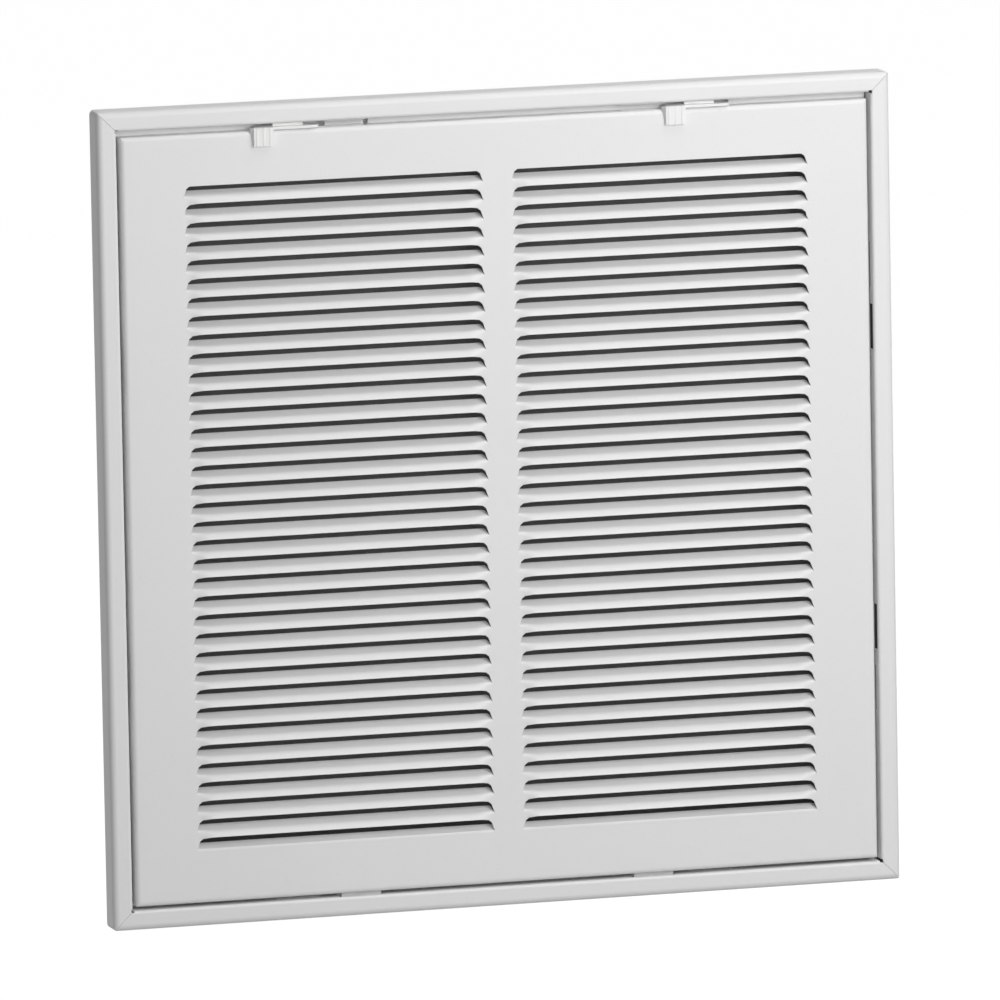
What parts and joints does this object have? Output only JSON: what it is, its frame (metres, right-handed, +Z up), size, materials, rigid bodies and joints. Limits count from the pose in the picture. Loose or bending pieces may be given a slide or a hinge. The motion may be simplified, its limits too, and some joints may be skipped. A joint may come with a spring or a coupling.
{
  "type": "return air filter grille",
  "caption": "Square return air filter grille: mitred wall frame with a filter collar, a louvred face hinged at the bottom, and slide latches along the top.",
  "frame": {"origin": "middle of the duct opening, on the wall plane that the ledge's back lies on", "axes": "+X to the viewer's right, +Z up, +Y into the wall; the louvred face looks towards -Y"},
  "size_m": [0.3714, 0.0463, 0.3714],
  "materials": {
    "painted_steel": "satin white powder coat",
    "zinc_steel": "zinc plated",
    "white_plastic": "moulded, slightly glossy"
  },
  "bodies": {
    "frame": {"top_rail": "painted_steel", "bottom_rail": "painted_steel", "left_rail": "painted_steel", "right_rail": "painted_steel", "top_left_corner_plate": "zinc_steel", "top_right_corner_plate": "zinc_steel", "bottom_left_corner_plate": "zinc_steel", "bottom_right_corner_plate": "zinc_steel", "left_hinge_bracket": "zinc_steel", "right_hinge_bracket": "zinc_steel"},
    "face": {"face_panel": "painted_steel", "left_hinge_pin": "zinc_steel", "right_hinge_pin": "zinc_steel"},
    "left_latch": {"left_latch": "white_plastic"},
    "right_latch": {"right_latch": "white_plastic"}
  },
  "joints": [
    {"name": "face_hinge", "type": "hinge", "parent": "frame", "child": "face", "pos_m": [0, -0.0082, -0.17084], "axis": [1, 0, 0], "range_deg": [0, 100]},
    {"name": "left_latch_slide", "type": "slide", "parent": "face", "child": "left_latch", "axis": [1, 0, 0], "range_m": [0, 0.022]},
    {"name": "right_latch_slide", "type": "slide", "parent": "face", "child": "right_latch", "axis": [-1, 0, 0], "range_m": [0, 0.022]}
  ]
}
